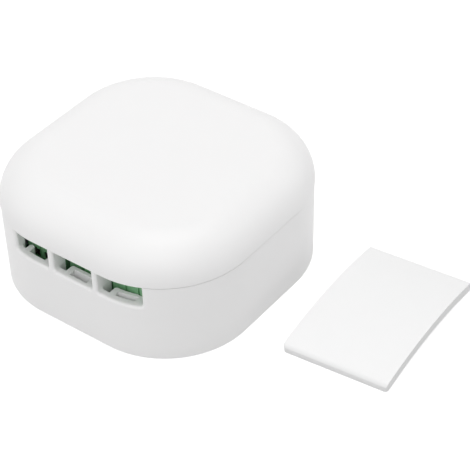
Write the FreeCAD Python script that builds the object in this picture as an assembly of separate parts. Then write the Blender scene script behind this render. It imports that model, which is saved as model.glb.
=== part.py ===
import FreeCAD, Part
import math
import os

from FreeCAD import Vector

# Smart switch module: a small two-part white case that holds a relay board with three rows of screw
# terminals behind three cable openings, and a loose foam mounting pad beside it. Millimetres, +Z up,
# the origin at the centre of the underside, the cable openings on the -Y side.

# Case
case_width = 62.0            # the cover, side to side, both ways
corner_radius = 21.3         # plan corner of the cover
seam_height = 20.4           # underside of the cover's edge
cover_height = 9.25          # seam to the flat top
cover_land = 0.25            # upright strip between the seam and the quarter-round
cover_wall = 1.7
cover_overhang = 0.1         # how far the cover stands proud of the base
seam_gap = 0.2               # shadow line between base and cover
base_wall = 1.8
base_floor = 1.8
base_draft = 0.2             # the base is this much narrower at the bottom, each side
base_edge_round = 0.5

# Cable openings, left to right seen from the front
window_left = -15.6
window_widths = [9.7, 10.6, 10.4]
post_widths = [1.6, 1.5]
sill_height = 14.6
window_corner = 0.7
window_edge_round = 0.7
window_cut_spare = 0.5       # the cut ends this far behind the board's front edge
post_rib_depths = [2.1, 3.0]  # how far each post reaches in behind the wall
jamb_rib_depth = 0.55        # and the rib at the left end of the row
jamb_rib_width = 1.6
post_rib_height = 8.7

# Cable tie loops behind the sills
row_centre = 1.4             # middle tie loop and middle terminal block
loop_pitch = 12.1
loop_slot = 4.7
loop_arm = 1.4
loop_bar = 0.8
loop_depth = 2.2
loop_open_depth = 1.85       # the left loop has no bar, only two short arms
loop_bites = [0.0, 0.45, 0.0]  # how far each slot is let into the wall
loop_slant = 0.7             # the rear face of a slot leans back by this much
loop_height = 3.0
loop_terminal_gap = 0.2      # the loops stay this far ahead of the terminal faces
loop_corner = 0.6

# Cover location: four pegs in four sockets
peg_inset = 2.5              # peg axis to the inner face of the corner
peg_angle = 42.4             # degrees round the corner, from the side wall
socket_radius = 2.6
socket_top = 17.0
socket_depth = 7.0
peg_radius = 1.2
peg_clearance = 0.08
peg_length = 6.4
peg_boss_radius = 2.0
peg_tip_chamfer = 0.4
peg_shoulder_gap = 0.02

# Locating lip inside the cover
lip_drop = 1.5
lip_thickness = 1.1
lip_clearance = 0.25
lip_root = 1.0
lip_gap_margin = 2.2         # the lip stops this far from the row of openings

# Circuit board
board_height = 8.0           # underside of the board
board_thickness = 1.6
board_margin = 0.9           # to the case wall
board_front_margin = 0.2     # straight front edge, this far ahead of the terminal faces
board_notch_clearance = 0.4
standoff_inset_x = 7.6       # from the inner face of the wall
standoff_inset_y = 14.6
standoff_radius = 2.4
screw_shank_radius = 1.1
screw_length = 6.0
screw_head_radius = 2.1
screw_head_height = 1.5
screw_hole_clearance = 0.25
thread_clearance = 0.05
screw_dome = 0.6
screw_dome_bend = (0.72, 0.7)  # a point of the dome, as shares of the head's radius and the dome's height
screw_hole_spare = 0.5       # below the tip
cross_width = 0.6
cross_depth = 0.8
cross_reach = 1.26

# Screw terminals
pole_pitch = 3.5
pole_count = 3
terminal_pitch = 12.1        # block to block
terminal_gap = 3.2           # inner face of the front wall to the terminal faces
terminal_side = 0.2          # housing beyond the outer poles, each side
terminal_depth = 7.2
terminal_height = 8.6
terminal_slope = 0.5
terminal_slope_start = 6.4
terminal_front_wall = 0.6
groove_width = 0.5
groove_depth = 0.35
key_width = 1.3
key_depth = 0.4
key_back = 1.6
entry_width = 2.3
entry_low = 1.0
entry_high = 3.4
entry_flare = 0.3
cage_width = 2.8
cage_depth = 3.2
cage_height = 4.4
cage_wall = 0.4
cage_floor = 0.7
cage_roof = 1.1
cage_round = 0.25
cage_rest = 0.4              # cage underside above the board, clamp open
cage_travel = 1.6
cage_side_clearance = 0.1
cage_end_clearance = 0.2
cage_top_clearance = 0.3
contact_thickness = 0.5
contact_width = 1.7
contact_roof_gap = 0.15
contact_leg = 1.0
contact_leg_offset = 0.85    # its middle, behind the cage's chamber
contact_slot_clearance = 0.05
clamp_screw_radius = 0.95
clamp_screw_head = 1.3
clamp_screw_head_height = 1.2
clamp_screw_tip_gap = 0.1
clamp_head_gap = 0.05
clamp_thread_clearance = 0.05
clamp_well_clearance = 0.15
clamp_neck_clearance = 0.1
clamp_neck = 0.4
slot_width = 0.4
slot_depth = 0.6

# Relays
relay_length = 18.4
relay_width = 10.2
relay_height = 15.3
relay_base_height = 1.0
relay_base_inset = 0.2
relay_gap = 1.3
relay_row_x = -6.25          # middle of the pair
relay_front_gap = 3.3        # behind the terminal blocks
relay_edge = 0.5
relay_vent_radius = 0.8
relay_vent_height = 0.3
relay_vent_inset = 2.2
relay_pin_inset_x = 1.3
relay_pin_inset_y = 2.0

# Power parts
transformer_x = 12.4
transformer_front_gap = 4.9
core_width = 10.2
core_height = 9.8
core_depth = 4.8
core_leg = 1.5
core_middle_leg = 3.0
bobbin_width = 11.4
bobbin_depth = 10.4
bobbin_plate = 1.3
bobbin_flange = 0.8
bobbin_tube = 0.5
bobbin_foot = 1.6
bobbin_pin_inset_x = 1.4
bobbin_pin_inset_y = 0.8
winding_depth = 9.2
winding_inset = 0.2
winding_round = 1.4
part_clearance = 0.1
filter_cap_x = 13.6
filter_cap_y = 4.6
filter_cap_radius = 4.0
filter_cap_height = 12.0
output_cap_edge = 2.65       # from the edge of the board
output_cap_y = 0.4
output_cap_radius = 3.15
output_cap_height = 8.0
can_crimp_height = 0.18      # shares of a can's height
can_groove = 0.07            # and of its radius
can_groove_depth = 0.098
can_rim = 0.1
can_lead_spread = 0.44
varistor_edge = 3.7
varistor_y = -4.4
varistor_radius = 3.6
varistor_thickness = 3.4
varistor_stand = 1.2
varistor_round = 1.19
varistor_lead_spread = 2.16
fuse_edge = 4.05
fuse_y = 5.6
fuse_length = 7.6
fuse_radius = 1.55
fuse_neck_radius = 1.25
fuse_end = 1.6
fuse_waist = 0.5
fuse_cap_radius = 1.085
fuse_cap_length = 0.4
fuse_lead_root = 0.2
fuse_stand = 0.4
lead_radius = 0.3
lead_reach = 1.2

# Radio part, button, lamp and chip
radio_x = 2.6
radio_edge = 2.3
radio_length = 22.0
radio_width = 15.0
radio_thickness = 0.8
radio_notches = 8
radio_notch_pitch = 1.5
radio_notch_radius = 0.4
shield_length = 14.0
shield_width = 11.6
shield_height = 2.2
shield_offset = -2.4
shield_corner = 1.0
shield_edge = 0.3
antenna_offset = 8.2
antenna_length = 7.0
antenna_width = 2.0
antenna_height = 0.9
button_gap = 2.0             # from the radio board
button_edge = 4.6
button_size = 6.0
button_height = 3.5
button_plunger_radius = 1.7
button_plunger_clearance = 0.1
button_plunger_top = 5.0
button_well_floor = 1.5
button_travel = 0.25
button_stop_gap = 0.1
button_peg_radius = 0.5
button_peg_inset = 1.0
button_peg_height = 0.15
button_corner = 0.4
button_chamfer = 0.2
lamp_gap = 2.2               # in front of the button
lamp_length = 2.0
lamp_width = 1.25
lamp_base_height = 0.4
lamp_height = 0.9
lamp_lens_length = 1.2
chip_x = -15.0
chip_y = 8.6
chip_length = 4.9
chip_width = 3.9
chip_height = 1.5
chip_lift = 0.2
chip_pitch = 1.27
chip_legs = 4
chip_leg_width = 0.42
chip_leg_reach = 1.0
chip_leg_thickness = 0.2
chip_leg_root = 0.2
solder_radius = 0.9
solder_tip_radius = 0.35
solder_height = 1.2

# Foam mounting pad, loose beside the case
pad_x = 52.3
pad_y = 10.1
pad_turn = 3.5               # degrees about +Z
pad_width = 25.0
pad_length = 38.2
pad_foam_thickness = 2.0
pad_liner_thickness = 0.12
pad_rise = 1.8               # the middle stands this much higher than the ends
pad_corner = 0.8

# Modelling allowances
past_face = 1.0              # a cutter runs this far past the face that it opens
sunk = 0.1                   # a fused piece or a short cutter reaches this far in
shallow = 0.05               # the same for thin pieces
same_face = 0.02             # a point this close to a face lies on it
same_place = 1e-6

# Sizes that follow
cover_half = case_width / 2
corner_centre = cover_half - corner_radius
cover_roll = cover_height - cover_land
base_half = cover_half - cover_overhang
inner_half = base_half - base_wall
case_height = seam_height + cover_height
rim_height = seam_height - seam_gap
board_top = board_height + board_thickness
board_half = inner_half - base_draft - board_margin
peg_reach = inner_half - corner_centre - peg_inset
peg_x = corner_centre + peg_reach * math.cos(math.radians(peg_angle))
peg_y = corner_centre + peg_reach * math.sin(math.radians(peg_angle))
standoff_x = inner_half - standoff_inset_x
standoff_y = inner_half - standoff_inset_y
terminal_face = terminal_gap - inner_half
terminal_back = terminal_face + terminal_depth
board_front = terminal_face - board_front_margin
relay_row_y = terminal_back + relay_front_gap + relay_length / 2
transformer_y = terminal_back + transformer_front_gap + bobbin_depth / 2
output_cap_x = output_cap_edge + output_cap_radius - board_half
varistor_x = board_half - varistor_edge - varistor_thickness / 2
fuse_x = board_half - fuse_edge - fuse_radius
radio_y = board_half - radio_edge - radio_width / 2
button_x = radio_x - radio_length / 2 - button_gap - button_size / 2
button_y = board_half - button_edge - button_size / 2
lamp_x = button_x
lamp_y = button_y - button_size / 2 - lamp_gap - lamp_width / 2
peg_boss_bottom = socket_top + peg_shoulder_gap
block_width = pole_count * pole_pitch + 2 * terminal_side
chamber_width = cage_width + 2 * cage_side_clearance
chamber_depth = cage_depth + 2 * cage_end_clearance
chamber_top = cage_rest + cage_height + cage_travel + cage_top_clearance
pole_y = terminal_face + terminal_front_wall + chamber_depth / 2
contact_leg_y = pole_y + chamber_depth / 2 + contact_leg_offset
contact_top = cage_rest + cage_height - cage_roof - contact_roof_gap
contact_bottom = contact_top - contact_thickness
neck_top = chamber_top + clamp_neck
clamp_head_bottom = neck_top + clamp_head_gap
clamp_tip = contact_top + clamp_screw_tip_gap


def box(x0, x1, y0, y1, z0, z1):
    return Part.makeBox(x1 - x0, y1 - y0, z1 - z0, Vector(x0, y0, z0))


def block(x, y, z0, length, width, height):
    return box(x - length / 2, x + length / 2, y - width / 2, y + width / 2, z0, z0 + height)


def rod(x, y, z0, z1, radius):
    return Part.makeCylinder(radius, z1 - z0, Vector(x, y, z0))


def join(shapes):
    return shapes[0].fuse(shapes[1:]).removeSplitter()


def remove(shape, tools):
    return shape.cut(tools)


def round_edges(shape, radius, wanted):
    edges = [edge for edge in shape.Edges if wanted(edge)]
    return shape.makeFillet(radius, edges)


def is_upright(edge):
    first, last = edge.Vertexes[0].Point, edge.Vertexes[-1].Point
    return math.hypot(first.x - last.x, first.y - last.y) < same_place < abs(first.z - last.z)


def is_level(edge, height):
    return all(abs(vertex.Z - height) < same_place for vertex in edge.Vertexes)


def turned(profile, centre, direction):
    """A solid of revolution from a closed list of profile edges."""
    return Part.Face(Part.Wire(profile)).revolve(centre, direction, 360)


def polygon(points):
    return Part.Face(Part.makePolygon(points + points[:1]))


def square_wire(half, height):
    """The case's rounded square at one level; its corners share the case's corner centres."""
    radius = half - corner_centre
    edges = []
    for quarter in range(4):
        turn = FreeCAD.Rotation(Vector(0, 0, 1), 90 * quarter)
        start = turn.multVec(Vector(half, -corner_centre, height))
        end = turn.multVec(Vector(half, corner_centre, height))
        edges.append(straight(start, end))
        reach = corner_centre + radius * math.sqrt(0.5)
        middle = turn.multVec(Vector(reach, reach, height))
        after = turn.multVec(Vector(corner_centre, half, height))
        edges.append(Part.Arc(end, middle, after).toShape())
    return Part.Wire(edges)


def square_prism(half, low, high):
    return Part.Face(square_wire(half, low)).extrude(Vector(0, 0, high - low))


def straight(start, end):
    return Part.LineSegment(start, end).toShape()


def square_sweep(profile, slab_low, slab_high):
    """Carry an upright profile round the rounded square and fill its middle between two heights."""
    pieces = [box(-corner_centre, corner_centre, -corner_centre, corner_centre, slab_low, slab_high)]
    face = Part.Face(Part.Wire(profile))
    for quarter in range(4):
        corner = face.copy()
        corner.translate(Vector(corner_centre, corner_centre, 0))
        corner = corner.revolve(Vector(corner_centre, corner_centre, 0), Vector(0, 0, 1), 90)
        run = face.copy()
        run.translate(Vector(corner_centre, -corner_centre, 0))
        run = run.extrude(Vector(0, 2 * corner_centre, 0))
        for piece in (corner, run):
            piece.rotate(Vector(0, 0, 0), Vector(0, 0, 1), 90 * quarter)
            pieces.append(piece)
    return join(pieces)


def rolled_line(radius, roll, low, high):
    """Upright side, quarter-round and flat top, from the foot to the middle line of a corner."""
    shoulder = high - roll
    bend = roll * math.sqrt(0.5)
    foot = Vector(radius, 0, low)
    side = Vector(radius, 0, shoulder)
    edge = Vector(radius - roll, 0, high)
    return [
        straight(foot, side),
        Part.Arc(side, Vector(radius - roll + bend, 0, shoulder + bend), edge).toShape(),
        straight(edge, Vector(0, 0, high)),
    ]


def wall_inside(x):
    """Y of the front wall's inner face at one x."""
    radius = inner_half - corner_centre
    past = max(abs(x) - corner_centre, 0)
    return -corner_centre - math.sqrt(radius ** 2 - past ** 2)


def window_spans():
    spans = []
    left = window_left
    for width, post in zip(window_widths, post_widths + [0]):
        spans.append((left, left + width))
        left += width + post
    return spans


def loop_centres():
    return [row_centre + loop_pitch * step for step in (-1, 0, 1)]


def terminal_centres():
    return [row_centre + terminal_pitch * step for step in (-1, 0, 1)]


def pole_centres(block_centre):
    return [block_centre + pole_pitch * (step - (pole_count - 1) / 2) for step in range(pole_count)]


def four_places(x, y):
    return [(sx * x, sy * y) for sx in (-1, 1) for sy in (-1, 1)]


# Base shell
def window_cutter(left, right):
    corner = window_corner
    top = seam_height + past_face
    bend = corner * (1 - math.sqrt(0.5))
    front = -cover_half - past_face
    points = [
        Vector(left, front, top), Vector(left, front, sill_height + corner),
        Vector(left + corner, front, sill_height), Vector(right - corner, front, sill_height),
        Vector(right, front, sill_height + corner), Vector(right, front, top),
    ]
    profile = [
        straight(points[0], points[1]),
        Part.Arc(points[1], Vector(left + bend, front, sill_height + bend), points[2]).toShape(),
        straight(points[2], points[3]),
        Part.Arc(points[3], Vector(right - bend, front, sill_height + bend), points[4]).toShape(),
        straight(points[4], points[5]),
        straight(points[5], points[0]),
    ]
    depth = board_front + window_cut_spare - front
    return Part.Face(Part.Wire(profile)).extrude(Vector(0, depth, 0))


def along_wall(centre, half_length, front_half, rear_half, slant):
    """A block that follows the front wall; its rear face leans back by the slant on its way up."""
    low = sill_height - loop_height
    length = box(centre - half_length, centre + half_length, -cover_half, -corner_centre, low, sill_height)
    rear_low = square_wire(rear_half + slant, low)
    rear_high = square_wire(rear_half, sill_height)
    behind = Part.makeLoft([rear_low, rear_high], True, True)
    return remove(length.common(square_prism(front_half, low, sill_height)), [behind])


def tie_loop(centre, with_bar):
    """Two arms at sill level behind the wall, joined by a bar that a cable tie passes round."""
    half_loop = loop_slot / 2 + loop_arm
    depth = loop_depth if with_bar else loop_open_depth
    root = inner_half + base_wall / 2
    loop = along_wall(centre, half_loop, root, inner_half - depth, 0)
    rear_limit = terminal_face - loop_terminal_gap
    loop = remove(loop, [box(-cover_half, cover_half, rear_limit, 0, 0, seam_height)])
    if not with_bar:
        rear_half = inner_half - depth - past_face
        loop = remove(loop, [along_wall(centre, loop_slot / 2, cover_half, rear_half, 0)])

    def at_rear(edge):
        corner = edge.Vertexes[0]
        at_end = abs(abs(corner.X - centre) - half_loop) < same_place or not with_bar
        return is_upright(edge) and at_end and corner.Y > wall_inside(corner.X) + depth / 2

    return round_edges(loop, loop_corner, at_rear)


def loop_slot_cutter(centre, bite):
    bar = loop_depth - loop_bar
    return along_wall(centre, loop_slot / 2, inner_half + bite, inner_half - bar, loop_slant)


def base_profile():
    """Floor and wall of the base from the middle line of a corner outwards, with its lower edge rounded."""
    outer = base_half - corner_centre
    inner = inner_half - corner_centre
    foot = outer - base_draft
    bend = base_edge_round * (1 - math.sqrt(0.5))
    edge_start = Vector(foot - base_edge_round, 0, 0)
    edge_end = Vector(foot + base_draft * base_edge_round / rim_height, 0, base_edge_round)
    points = [
        edge_end, Vector(outer, 0, rim_height), Vector(inner, 0, rim_height),
        Vector(inner - base_draft, 0, base_floor), Vector(0, 0, base_floor), Vector(0, 0, 0), edge_start,
    ]
    profile = [straight(start, end) for start, end in zip(points, points[1:])]
    profile.append(Part.Arc(edge_start, Vector(foot - bend, 0, bend), edge_end).toShape())
    return profile


def base_shell():
    body = square_sweep(base_profile(), 0, base_floor)
    body = remove(body, [window_cutter(left, right) for left, right in window_spans()])

    def on_window_outside(edge):
        if any(vertex.Y > -corner_centre for vertex in edge.Vertexes):
            return False
        middle = edge.valueAt((edge.FirstParameter + edge.LastParameter) / 2)
        on_opening = sill_height - same_face < middle.z < rim_height - same_face
        past = max(abs(middle.x) - corner_centre, 0)
        draft = base_draft * (1 - middle.z / rim_height)
        radius = math.hypot(past, middle.y + corner_centre)
        return on_opening and abs(radius - (base_half - corner_centre - draft)) < same_face

    body = round_edges(body, window_edge_round, on_window_outside)
    added = []
    spans = window_spans()
    rib_low = rim_height - post_rib_height
    lefts = [spans[0][0] - jamb_rib_width, spans[0][1], spans[1][1]]
    for left, width, depth in zip(lefts, [jamb_rib_width] + post_widths, [jamb_rib_depth] + post_rib_depths):
        inside = wall_inside(left + width / 2)
        added.append(box(left, left + width, inside - base_wall / 2, inside + depth, rib_low, rim_height))
    for index, centre in enumerate(loop_centres()):
        added.append(tie_loop(centre, index > 0))
    for x, y in four_places(peg_x, peg_y):
        added.append(rod(x, y, base_floor / 2, socket_top, socket_radius))
    for x, y in four_places(standoff_x, standoff_y):
        added.append(rod(x, y, base_floor / 2, board_height, standoff_radius))
    body = join([body] + added)
    holes = []
    for centre, bite in list(zip(loop_centres(), loop_bites))[1:]:
        holes.append(loop_slot_cutter(centre, bite))
    for x, y in four_places(peg_x, peg_y):
        socket_floor = socket_top - socket_depth
        holes.append(rod(x, y, socket_floor, socket_top + past_face, peg_radius + peg_clearance))
    for x, y in four_places(standoff_x, standoff_y):
        hole_bottom = board_top - screw_length - screw_hole_spare
        holes.append(rod(x, y, hole_bottom, board_height + past_face, screw_shank_radius + thread_clearance))
    return remove(body, holes)


# Cover
def cover_core():
    """The space inside the middle of the cover's wall, which the peg bosses grow up to."""
    inset = cover_wall / 2
    radius = corner_radius - inset
    high = case_height - inset
    profile = rolled_line(radius, cover_roll - inset, seam_height, high)
    axis_low = Vector(0, 0, seam_height)
    profile.append(straight(Vector(0, 0, high), axis_low))
    profile.append(straight(axis_low, Vector(radius, 0, seam_height)))
    return square_sweep(profile, seam_height, high)


def top_cover():
    inner_radius = corner_radius - cover_wall
    inner_top = case_height - cover_wall
    root_top = seam_height + lip_root
    lip_bottom = seam_height - lip_drop
    lip_outer = inner_half - lip_clearance - corner_centre
    lip_inner = lip_outer - lip_thickness
    profile = rolled_line(corner_radius, cover_roll, seam_height, case_height)
    profile.append(straight(Vector(0, 0, case_height), Vector(0, 0, inner_top)))
    profile += rolled_line(inner_radius, cover_roll - cover_wall, root_top, inner_top)[::-1]
    steps = [
        Vector(inner_radius, 0, root_top), Vector(lip_inner, 0, root_top),
        Vector(lip_inner, 0, lip_bottom), Vector(lip_outer, 0, lip_bottom),
        Vector(lip_outer, 0, seam_height), Vector(corner_radius, 0, seam_height),
    ]
    profile += [straight(start, end) for start, end in zip(steps, steps[1:])]
    shell = square_sweep(profile, inner_top, case_height)
    spans = window_spans()
    gap = box(spans[0][0] - lip_gap_margin, spans[-1][1] + lip_gap_margin, -cover_half, -corner_centre,
              lip_bottom - past_face, seam_height)
    shell = remove(shell, [gap])
    core = cover_core()
    bosses = []
    peg_low = peg_boss_bottom - peg_length
    for x, y in four_places(peg_x, peg_y):
        bosses.append(rod(x, y, seam_height, case_height, peg_boss_radius).common(core))
        bosses.append(rod(x, y, peg_boss_bottom, seam_height, peg_boss_radius))
        pin = rod(x, y, peg_low, peg_boss_bottom, peg_radius)
        bosses.append(pin.makeChamfer(peg_tip_chamfer, [e for e in pin.Edges if is_level(e, peg_low)]))
    return join([shell] + bosses)


# Circuit board and its screws
def circuit_board():
    board = square_prism(board_half, board_height, board_top)
    low = board_height - past_face
    high = board_top + past_face
    cutters = [box(-cover_half, cover_half, -cover_half, board_front, low, high)]
    for x, y in four_places(peg_x, peg_y):
        cutters.append(rod(x, y, low, high, socket_radius + board_notch_clearance))
    for x, y in four_places(standoff_x, standoff_y):
        cutters.append(rod(x, y, low, high, screw_shank_radius + screw_hole_clearance))
    return remove(board, cutters)


def board_screws():
    head_top = board_top + screw_head_height
    side = head_top - screw_dome
    tip = board_top - screw_length
    across, up = screw_dome_bend
    screws = []
    for x, y in four_places(standoff_x, standoff_y):
        points = [
            Vector(x, y, head_top), Vector(x, y, tip), Vector(x + screw_shank_radius, y, tip),
            Vector(x + screw_shank_radius, y, board_top), Vector(x + screw_head_radius, y, board_top),
            Vector(x + screw_head_radius, y, side),
        ]
        on_dome = Vector(x + screw_head_radius * across, y, side + screw_dome * up)
        profile = [straight(start, end) for start, end in zip(points, points[1:])]
        profile.append(Part.Arc(points[-1], on_dome, points[0]).toShape())
        screw = turned(profile, Vector(x, y, 0), Vector(0, 0, 1))
        cross = [
            block(x, y, head_top - cross_depth, 2 * cross_reach, cross_width, screw_head_height),
            block(x, y, head_top - cross_depth, cross_width, 2 * cross_reach, screw_head_height),
        ]
        screws.append(remove(screw, [join(cross)]))
    return Part.makeCompound(screws)


# Screw terminal blocks
def terminal_housing(centre):
    left = centre - block_width / 2
    right = centre + block_width / 2
    low = board_top
    back = terminal_back
    top = low + terminal_height
    profile = [
        Vector(left, terminal_face, low), Vector(left, terminal_face, low + terminal_slope_start),
        Vector(left, terminal_face + terminal_slope, top), Vector(left, back - terminal_slope, top),
        Vector(left, back, low + terminal_slope_start), Vector(left, back, low),
    ]
    housing = polygon(profile).extrude(Vector(block_width, 0, 0))
    key_y = back - key_back
    key = block(left - key_depth / 2, key_y, low, key_depth, key_width, terminal_slope_start)
    below = low - past_face
    above = top + past_face
    keyway_half = key_width / 2 + part_clearance
    keyway = box(right - key_depth, right + past_face, key_y - keyway_half, key_y + keyway_half, below, above)
    cutters = [keyway]
    for step in range(1, pole_count):
        x = left + terminal_side + step * pole_pitch
        cutters.append(box(x - groove_width / 2, x + groove_width / 2, terminal_face - past_face,
                           terminal_face + groove_depth, below, above))
    for x in pole_centres(centre):
        cutters.append(block(x, pole_y, below, chamber_width, chamber_depth, chamber_top + past_face))
        neck_low = low + chamber_top - sunk
        cutters.append(rod(x, pole_y, neck_low, top, clamp_screw_radius + clamp_neck_clearance))
        cutters.append(rod(x, pole_y, low + neck_top, above, clamp_screw_head + clamp_well_clearance))
        inner_face = terminal_face + terminal_front_wall + sunk
        half = entry_width / 2
        mouth = [
            entry_outline(x, half, terminal_face + terminal_front_wall / 2, 0),
            entry_outline(x, half, terminal_face, entry_flare),
        ]
        cutters.append(Part.makeLoft([Part.makePolygon(p + p[:1]) for p in mouth], True, True))
        outer_face = terminal_face - sunk
        cutters.append(box(x - half, x + half, outer_face, inner_face, low + entry_low, low + entry_high))
        slot_half = contact_width / 2 + contact_slot_clearance
        slot_back = contact_leg_y + contact_thickness / 2 + contact_slot_clearance
        slot_top = low + contact_top + contact_slot_clearance
        cutters.append(box(x - slot_half, x + slot_half, pole_y, slot_back, below, slot_top))
    return remove(join([housing, key]), cutters)


def entry_outline(x, half, y, flare):
    low = board_top + entry_low - flare
    high = board_top + entry_high + flare
    wide = half + flare
    corners = [(-wide, low), (wide, low), (wide, high), (-wide, high)]
    return [Vector(x + across, y, z) for across, z in corners]


def terminal_contacts():
    """One L-shaped tinned strip for each pole: the tongue in the cage, the leg down to the board."""
    strips = []
    for centre in terminal_centres():
        for x in pole_centres(centre):
            front = pole_y - cage_depth / 2
            back = contact_leg_y + contact_thickness / 2
            half = contact_width / 2
            tongue = box(x - half, x + half, front, back, board_top + contact_bottom, board_top + contact_top)
            leg = box(x - contact_leg / 2, x + contact_leg / 2, back - contact_thickness, back,
                      board_top, board_top + contact_bottom)
            strips.append(join([tongue, leg]))
    return Part.makeCompound(strips)


def clamp_cage(x):
    low = board_top + cage_rest
    cage = block(x, pole_y, low, cage_width, cage_depth, cage_height)

    def along_wire(edge):
        return not is_upright(edge) and abs(edge.Vertexes[0].X - edge.Vertexes[-1].X) < same_place

    cage = round_edges(cage, cage_round, along_wire)
    opening = block(x, pole_y, low + cage_floor, cage_width - 2 * cage_wall, cage_depth + past_face,
                    cage_height - cage_floor - cage_roof)
    thread = rod(x, pole_y, low + cage_height - cage_roof - sunk, low + cage_height + sunk,
                 clamp_screw_radius + clamp_thread_clearance)
    return remove(cage, [opening, thread])


def terminal_screw(x):
    head_bottom = board_top + clamp_head_bottom
    head_top = head_bottom + clamp_screw_head_height
    shank = rod(x, pole_y, board_top + clamp_tip, head_bottom, clamp_screw_radius)
    head = rod(x, pole_y, head_bottom, head_top, clamp_screw_head)
    slot = block(x, pole_y, head_top - slot_depth, 3 * clamp_screw_head, slot_width, slot_depth + past_face)
    return remove(join([shank, head]), [slot])


# Relays
def relay_centres():
    offset = (relay_width + relay_gap) / 2
    return [(relay_row_x - offset, relay_row_y), (relay_row_x + offset, relay_row_y)]


def relay_base(x, y):
    inset = 2 * relay_base_inset
    return block(x, y, board_top, relay_width - inset, relay_length - inset, relay_base_height)


def relay_case(x, y):
    low = board_top + relay_base_height
    high = board_top + relay_height
    case = block(x, y, low, relay_width, relay_length, high - low)
    case = round_edges(case, relay_edge, lambda e: is_upright(e) or is_level(e, high))
    vent_x = x - relay_width / 2 + relay_vent_inset
    vent_y = y + relay_length / 2 - relay_vent_inset
    vent = rod(vent_x, vent_y, high - sunk, high + relay_vent_height, relay_vent_radius)
    return join([case, vent])


# Transformer
def transformer_pieces():
    x = transformer_x
    y = transformer_y
    low = board_top
    plate_top = low + bobbin_plate
    core_low = plate_top
    core_top = core_low + core_height
    window_low = core_low + core_leg
    window_high = core_top - core_leg
    window_half = core_width / 2 - core_leg
    yoke = block(x, y, core_low, core_width, core_depth, core_height)
    opening = block(x, y, window_low, 2 * window_half, core_depth + past_face, window_high - window_low)
    leg_height = window_high - window_low + 2 * sunk
    middle = block(x, y, window_low - sunk, core_middle_leg, core_depth, leg_height)
    core = join([remove(yoke, [opening]), middle])

    hole_x = core_middle_leg + 2 * part_clearance
    hole_y = core_depth + 2 * part_clearance
    tube_x = hole_x + 2 * bobbin_tube
    tube_y = hole_y + 2 * bobbin_tube
    flange_x = 2 * (window_half - part_clearance)
    low_flange = window_low + part_clearance
    high_flange = window_high - part_clearance
    tube = block(x, y, low_flange, tube_x, tube_y, high_flange - low_flange)
    lower = block(x, y, low_flange, flange_x, winding_depth, bobbin_flange)
    upper = block(x, y, high_flange - bobbin_flange, flange_x, winding_depth, bobbin_flange)
    plate = block(x, y, low, bobbin_width, bobbin_depth, bobbin_plate)
    foot_low = plate_top - shallow
    foot_height = low_flange - plate_top + 2 * shallow
    gap_y = (winding_depth / 2 + core_depth / 2) / 2
    feet = [block(x, y + side * gap_y, foot_low, flange_x, bobbin_foot, foot_height) for side in (-1, 1)]
    hole = block(x, y, low_flange - sunk, hole_x, hole_y, high_flange - low_flange + 2 * sunk)
    bobbin = join([remove(join([tube, lower, upper]), [hole]), plate] + feet)

    coil_low = low_flange + bobbin_flange
    coil_high = high_flange - bobbin_flange
    coil_x = flange_x - 2 * part_clearance
    coil_y = winding_depth - 2 * winding_inset
    coil = block(x, y, coil_low, coil_x, coil_y, coil_high - coil_low)
    coil = round_edges(coil, winding_round, is_upright)
    bore = block(x, y, coil_low - past_face, tube_x, tube_y, coil_high - coil_low + 2 * past_face)
    winding = remove(coil, [bore])
    return core, bobbin, winding


# Capacitors, varistor and fuse resistor
def capacitor(x, y, radius, height):
    low = board_top
    high = low + height
    crimp = low + can_crimp_height * height
    groove = can_groove * radius
    groove_floor = radius - can_groove_depth * radius
    rim = can_rim * radius

    def at(r, z):
        return Vector(x + r, y, z)

    points = [at(0, low), at(radius - rim, low), at(radius, low + rim), at(radius, crimp - 2 * groove)]
    after = [at(radius, crimp + 2 * groove), at(radius, high - rim), at(radius - rim, high), at(0, high)]
    edges = [straight(start, end) for start, end in zip(points, points[1:])]
    edges.append(Part.Arc(points[-1], at(groove_floor, crimp), after[0]).toShape())
    edges += [straight(start, end) for start, end in zip(after, after[1:] + points[:1])]
    return turned(edges, Vector(x, y, 0), Vector(0, 0, 1))


def varistor():
    centre_z = board_top + varistor_stand + varistor_radius
    face_centre = Vector(varistor_x - varistor_thickness / 2, varistor_y, centre_z)
    disc = Part.makeCylinder(varistor_radius, varistor_thickness, face_centre, Vector(1, 0, 0))
    disc = round_edges(disc, varistor_round, lambda edge: len(edge.Vertexes) == 1)
    spread = varistor_lead_spread
    legs = [rod(varistor_x, varistor_y + side * spread, board_top, centre_z - spread, lead_radius)
            for side in (-1, 1)]
    return join([disc] + legs)


def fuse_resistor():
    z = board_top + fuse_stand + fuse_radius
    half = fuse_length / 2

    def at(r, along):
        return Vector(fuse_x, fuse_y - half + along, z + r)

    half_outline = [
        (0, 0), (fuse_cap_radius, 0), (fuse_radius, fuse_cap_length), (fuse_radius, fuse_end),
        (fuse_neck_radius, fuse_end + fuse_waist),
    ]
    points = [at(r, along) for r, along in half_outline]
    points += [at(r, fuse_length - along) for r, along in half_outline[::-1]]
    body = polygon(points).revolve(Vector(fuse_x, 0, z), Vector(0, 1, 0), 360)
    pieces = [body]
    for side in (-1, 1):
        bend_y = fuse_y + side * (half + lead_reach)
        inner_y = fuse_y + side * (half - fuse_lead_root)
        start = Vector(fuse_x, min(bend_y, inner_y), z)
        along = Part.makeCylinder(lead_radius, abs(bend_y - inner_y), start, Vector(0, 1, 0))
        elbow = Part.makeSphere(lead_radius, Vector(fuse_x, bend_y, z))
        down = rod(fuse_x, bend_y, board_top, z, lead_radius)
        pieces += [along, elbow, down]
    return join(pieces)


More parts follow.
